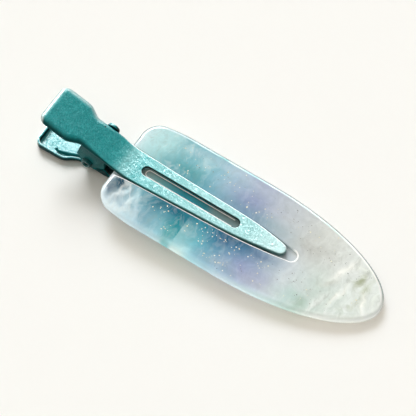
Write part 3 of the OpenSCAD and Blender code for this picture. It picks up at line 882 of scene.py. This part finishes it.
def make_lower_jaw(material):
    """One pressed sheet: tray with its rim turned up, neck, two ears, and the tongue glued under the plate."""
    bm = pulled(sheet_rings(lower_outline(), lower_bend, lower_bend, rim_height, lambda x, h: h))
    crosscut(bm, LOWER_CUTS)
    for v in bm.verts:
        v.co.z += lower_under(v.co.x)
    steps = [
        ("UNION", lobe(NEAR_EAR, *LOWER_EAR_NEAR)), ("UNION", lobe(FAR_EAR, *LOWER_EAR_FAR)),
        ("UNION", lobe(FAR_ARM, *LOWER_EAR_FAR)), ("DIFFERENCE", pin_bore(PIN_R + 0.01)),
    ]
    jaw = new_piece(combined(bm, steps), "lower_lever_and_tongue", material, "lower", "lower_jaw", 38)
    mark_turned(jaw, lambda x: 0, lambda x: -20)
    keep_flats_flat(jaw)


# ------------ pin and spring
def make_pin(material):
    """The hollow pin: a tube's wall spun round the pivot, with its ends rolled round."""
    bm = bmesh.new()
    middle, roll = (PIN_R + PIN_HOLE_R) / 2, (PIN_R - PIN_HOLE_R) / 2
    wall = bow(middle, PIN_NEAR + roll, roll, 180, 360, 8) + bow(middle, PIN_FAR - roll, roll, 0, 180, 8)
    verts = [bm.verts.new((PIVOT[0] + r, y, PIVOT[1])) for r, y in wall]
    edges = [bm.edges.new((verts[i], verts[(i + 1) % len(verts)])) for i in range(len(verts))]
    bmesh.ops.spin(
        bm, geom=verts + edges, cent=(PIVOT[0], 0, PIVOT[1]), axis=(0, 1, 0), angle=2 * math.pi, steps=48,
        use_merge=True,
    )
    bmesh.ops.remove_doubles(bm, verts=bm.verts[:], dist=0.0005)
    bmesh.ops.recalc_face_normals(bm, faces=bm.faces[:])
    new_piece(bm, "hollow_pivot_pin", material, "lower", "pivot_pin")


# The wire, the coil from its near end to its far one, and the points that its two legs pass
WIRE_R, WIRE_SIDES = 0.325, 14
COIL_R = PIN_R + 0.08 + WIRE_R
COIL_NEAR, COIL_FAR = -1.725, 2.425
COIL_FROM, COIL_TO, COIL_POINTS = 262, 49.0 + 360 * 6, 150
TRAY_LEG = [
    (-14.1, -3.75, -4.7), (-13.9, -3.75, -5.1), (-13.4, -3.62, -5.31), (-11, -2.92, -5.17), (-9.6, -2.42, -5.04),
    (-8.5, -1.98, -4.9), (-7.6, -1.74, -4.8),
]
LEVER_LEG = [(-8, COIL_FAR, 0.36), (-10.2, COIL_FAR, 2.27), (-11.2, COIL_FAR, 2.95)]


def eased(points, steps):
    """A smooth curve through given points."""
    p = [Vector(q) for q in points]
    out = []
    for i in range(len(p) - 1):
        before, after = p[max(i - 1, 0)], p[min(i + 2, len(p) - 1)]
        for k in range(steps):
            t = k / steps
            m0, m1 = (p[i + 1] - before) / 2, (after - p[i]) / 2
            out.append(
                p[i] * (2 * t**3 - 3 * t**2 + 1) + m0 * (t**3 - 2 * t**2 + t)
                + p[i + 1] * (-2 * t**3 + 3 * t**2) + m1 * (t**3 - t**2)
            )
    return out + [p[-1]]


def make_spring(material):
    """Round wire pulled along its path, turned to it at each point, with rounded ends: a leg in the tray, the coil
    round the pin, and a leg under the lever."""
    coil = []
    for i in range(COIL_POINTS + 1):
        u = i / COIL_POINTS
        a = math.radians(COIL_FROM + (COIL_TO - COIL_FROM) * u)
        y = COIL_NEAR + (COIL_FAR - COIL_NEAR) * u
        coil.append(Vector((PIVOT[0] + COIL_R * math.cos(a), y, PIVOT[1] + COIL_R * math.sin(a))))
    path = eased(TRAY_LEG + [coil[0]], 5)[:-1] + coil + eased([coil[-1]] + LEVER_LEG, 4)[1:]
    last = len(path) - 1
    turns = [2 * math.pi * k / WIRE_SIDES for k in range(WIRE_SIDES)]

    def ring_at(i, shrink=1, push=0):
        along = (path[min(i + 1, last)] - path[max(i - 1, 0)]).normalized()
        over = along.cross(Vector((0.1, 1, 0.05))).normalized()
        third = along.cross(over)
        r = WIRE_R * shrink
        return [path[i] + over * (-r * math.sin(a)) + third * (r * math.cos(a)) + along * push for a in turns]

    rings = [ring_at(0, 0.6, -0.12), ring_at(0, 0.9, -0.05)] + [ring_at(i) for i in range(last + 1)]
    rings += [ring_at(last, 0.9, 0.08), ring_at(last, 0.6, 0.15)]
    spring = new_piece(pulled(rings), "coiled_spring", material, None, None, angle=60)
    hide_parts("torsion_spring")
    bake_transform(spring)


# ------------ flecks in the acetate
# Where flecks gather: middle x and y, how far they spread each way, and how many
GOLD_GATHERS = [
    (13, -5.8, 2.4, 1.3, 7), (16, -8.8, 1, 1, 5), (22.5, -4.6, 1.4, 0.5, 4), (27, -4.8, 1.6, 0.6, 8),
    (25.5, -9.3, 1.8, 0.7, 8), (29.3, -8.3, 0.8, 0.9, 5), (33.5, -5, 1.8, 0.9, 6), (36.4, -5.3, 0.6, 0.7, 4),
    (37.5, -9, 1.4, 0.5, 3), (12.5, 4.6, 2, 0.6, 6), (21, 6.8, 1.4, 0.7, 4), (27.5, 4.2, 2.6, 0.4, 6),
    (8, 8, 2.4, 1.1, 4), (31, 4.8, 0.6, 0.5, 3), (54.5, -1.8, 1.4, 0.7, 4), (48, -5, 2.6, 0.9, 4),
    (24, -7, 9, 2.4, 34), (20, 6.5, 9, 2.2, 26), (41, 5, 6, 2, 8),
]
SMOKE_GATHERS = [
    (36, 7, 5, 1.6, 30), (45, 4, 4, 2.2, 26), (42, -3.6, 4, 1.6, 22), (46, -5.5, 3, 1, 12),
    (18, 6.5, 5, 1.8, 16), (30, -8.5, 4, 1.2, 12), (53, 1, 3, 3, 10),
]
# A fleck's corners, and how far it stands out of the top and lies in it
FLECK_SIDES, FLECK_PROUD, FLECK_DEEP = 6, 0.015, 0.05


def fleck_finish(name, dull, bright, metallic):
    """Leaf: each fleck a tone of its own, with a grain in it."""
    f = Finish(name)
    place = f.place()
    own, grain = f.noise(place, 900, 1), f.noise(place, 12000, 1)
    leaf = f.ramp(own * 0.75 + grain * 0.25, [(0.36, srgb(*dull)), (0.62, srgb(*bright))])
    crease = f.term("ShaderNodeBump", {"Strength": 0.4, "Distance": 0.00001}, Height=grain)
    return f.finished({"Metallic": metallic, "Roughness": 0.45}, Base_Color=leaf, Normal=crease)


def on_plate_top(x, y):
    """Whether a fleck fits on the plate's flat top, clear of its rim and of the groove."""
    if not 1.5 < x < 57.5:
        return False
    belly = PLATE_L - NOSE_L
    half = plate_half_at(x) if x < belly else PLATE_HALF * math.sqrt(max(0, 1 - ((x - belly) / NOSE_L) ** 2))
    rows = GROOVE_FAR if y > 0 else GROOVE_NEAR
    groove = smooth_row(rows, min(x, rows[-1][0])) if x < GROOVE_END + 0.6 else 0.0
    return groove + 0.55 < abs(y) < half - 1.2


def make_flecks():
    """Flecks of leaf lying in the acetate's top, joined by colour."""
    draw = random.Random(7)
    gold = fleck_finish("pale_gold_leaf", (222, 208, 158), (240, 240, 220), 0.15)
    smoke = fleck_finish("smoky_leaf", (88, 94, 98), (150, 150, 140), 0.1)
    for name, gathers, least, most, material in (
        ("gold_leaf_flecks", GOLD_GATHERS, 0.07, 0.2, gold),
        ("smoky_flecks", SMOKE_GATHERS, 0.06, 0.14, smoke),
    ):
        bm = bmesh.new()
        for x, y, spread_x, spread_y, count in gathers:
            left = count
            while left:
                fx, fy = draw.gauss(x, spread_x * 0.8), draw.gauss(y, spread_y * 0.8)
                if not on_plate_top(fx, fy):
                    continue
                left -= 1
                r = least + (most - least) * draw.random() ** 1.4
                bmesh.ops.create_cone(
                    bm, cap_ends=True, segments=FLECK_SIDES, radius1=r, radius2=r * 0.8, depth=FLECK_PROUD + FLECK_DEEP,
                    matrix=Matrix.Translation((fx, fy, (FLECK_PROUD - FLECK_DEEP) / 2))
                    @ Matrix.Rotation(draw.uniform(0, math.pi), 4, "Z")
                    @ Matrix.Diagonal((1, draw.uniform(0.6, 1), 1, 1)),
                )
        new_piece(bm, name, material, "lower", angle=30)


# ------------ floor, light and camera
def make_stage():
    """A plain pale floor."""
    bm = bmesh.new()
    bmesh.ops.create_grid(bm, x_segments=2, y_segments=2, size=3)
    floor = plain_mesh(bm, "floor")
    pale = {"Base Color": (*srgb(250, 250, 250), 1), "Roughness": 0.85, "Specular IOR Level": 0.1}
    floor.data.materials.append(Finish("pale_floor").finished(pale))


def softbox(name, towards, angle, strength, colour=WHITE, gloss=False):
    """A round softbox far away in a direction, so that the whole floor is lit alike: angle is how wide it looks.
    It shines as body light, or only as gloss."""
    data = bpy.data.lights.new(name, "SUN")
    data.angle, data.energy, data.color = math.radians(angle), strength, colour
    lamp = added(name, data)
    lamp.rotation_euler = Vector(towards).normalized().to_track_quat("Z", "Y").to_euler()
    lamp.visible_glossy = gloss
    lamp.visible_diffuse = lamp.visible_transmission = not gloss
    return lamp


def chosen(name, pieces, state):
    """Pieces gathered for a lamp: INCLUDE means these alone, and EXCLUDE all but these."""
    gathered = bpy.data.collections.new(name)
    for k, piece in enumerate(pieces):
        gathered.objects.link(piece)
        gathered.collection_objects[k].light_linking.link_state = state
    return gathered


def make_lights(plate, pieces):
    """A key from behind the levers, of which the acetate lets a part through to the floor, a fill from the near side
    that is weaker on the floor, a card that lifts the acetate's near edge, and three lights for gloss alone."""
    key, near, key_wide, fill_wide = (-0.58, 0.58, 0.57), (-0.05, -0.64, 0.77), 30, 84
    softbox("key_softbox", key, key_wide, 2.11, (0.829, 0.918, 1))
    through = softbox("key_through_the_acetate", key, key_wide, 0.60, (1, 0.90, 0.74))
    floor_key = softbox("key_on_the_floor", key, key_wide, 0.635, (1, 0.92, 0.82))
    fill = softbox("near_fill", near, fill_wide, 0.15, (1, 0.82, 0.5))
    clip_fill = softbox("near_fill_on_the_clip", near, fill_wide, 0.47, (1, 0.919, 0.849))
    card = softbox("card_for_the_acetate_edge", (0.45, -0.89, 0.08), 60, 1.75, (0.86, 1, 1))
    for lamp in (through, floor_key, fill, clip_fill):
        lamp.light_linking.blocker_collection = chosen(lamp.name + "_passes_through", [plate], "EXCLUDE")
    for lamp, lit, state in (
        (floor_key, pieces, "EXCLUDE"), (clip_fill, pieces, "INCLUDE"), (card, [plate], "INCLUDE"),
    ):
        lamp.light_linking.receiver_collection = chosen(lamp.name + "_lights", lit, state)
    softbox("left_gloss", (-0.40, 0.60, 0.69), 18, 3.6, gloss=True)
    softbox("far_gloss", (-0.05, 0.80, 0.60), 20, 2, gloss=True)
    softbox("back_gloss", (-0.68, 0.36, 0.64), 12, 5, gloss=True)


def make_room():
    """A pale room, darker toward what the levers mirror."""
    room = bpy.data.worlds.new("pale_room")
    bpy.context.scene.world = room
    room.use_nodes = True
    n = Nodes(room.node_tree)
    towards_light = n.vector("DOT_PRODUCT", n.term("ShaderNodeTexCoord", output="Generated"), (-0.9, 0.3, 0.7))
    sky = n.ramp(towards_light, [(0.3, (0.05, 0.05, 0.05)), (0.85, (0.84, 0.79, 0.70))])
    n.node("ShaderNodeOutputWorld", n0=n.node("ShaderNodeBackground", n0=sky))


# The camera's angle round and above the clip, its distance, what it looks at, and its lens for a picture 416 wide
CAMERA_AZ, CAMERA_EL, CAMERA_DIST = 32.17, 61.6, 0.29688
CAMERA_TARGET = (0.00031, -0.00081, 0.005485)
FILM_WIDTH, PICTURE_WIDTH, FOCAL_PIXELS = 36, 416, 1500


def make_camera():
    data = bpy.data.cameras.new("camera")
    data.lens, data.sensor_width = FOCAL_PIXELS / PICTURE_WIDTH * FILM_WIDTH, FILM_WIDTH
    data.clip_start, data.clip_end = 0.01, 20
    camera = added("camera", data)
    az, el = math.radians(CAMERA_AZ), math.radians(CAMERA_EL)
    back = Vector((math.sin(az) * math.cos(el), -math.cos(az) * math.cos(el), math.sin(el)))
    camera.location = Vector(CAMERA_TARGET) + back * CAMERA_DIST
    camera.rotation_euler = back.to_track_quat("Z", "Y").to_euler()
    bpy.context.scene.camera = camera


bpy.context.scene.view_settings.view_transform = "Standard"
plate = make_plate(pearl_acetate())
make_upper_jaw(teal_paint("sparkling_teal_paint_with_painted_sheen", (0, 135, 140), (2, 162, 165), (0, 64, 66), sheen_chip_and_slot_shade=True))
make_lower_jaw(teal_paint("sparkling_teal_paint_dark_in_the_neck", shaded_neck=True))
# the pin's paint is darker all over, as painted shade for its barrel between the ears
make_pin(teal_paint("teal_paint_darkened_as_painted_shade", (0, 66, 70), (6, 96, 98)))
make_spring(teal_paint("sparkling_teal_paint"))
make_flecks()
make_stage()
make_lights(plate, PIECES)
make_room()
make_camera()
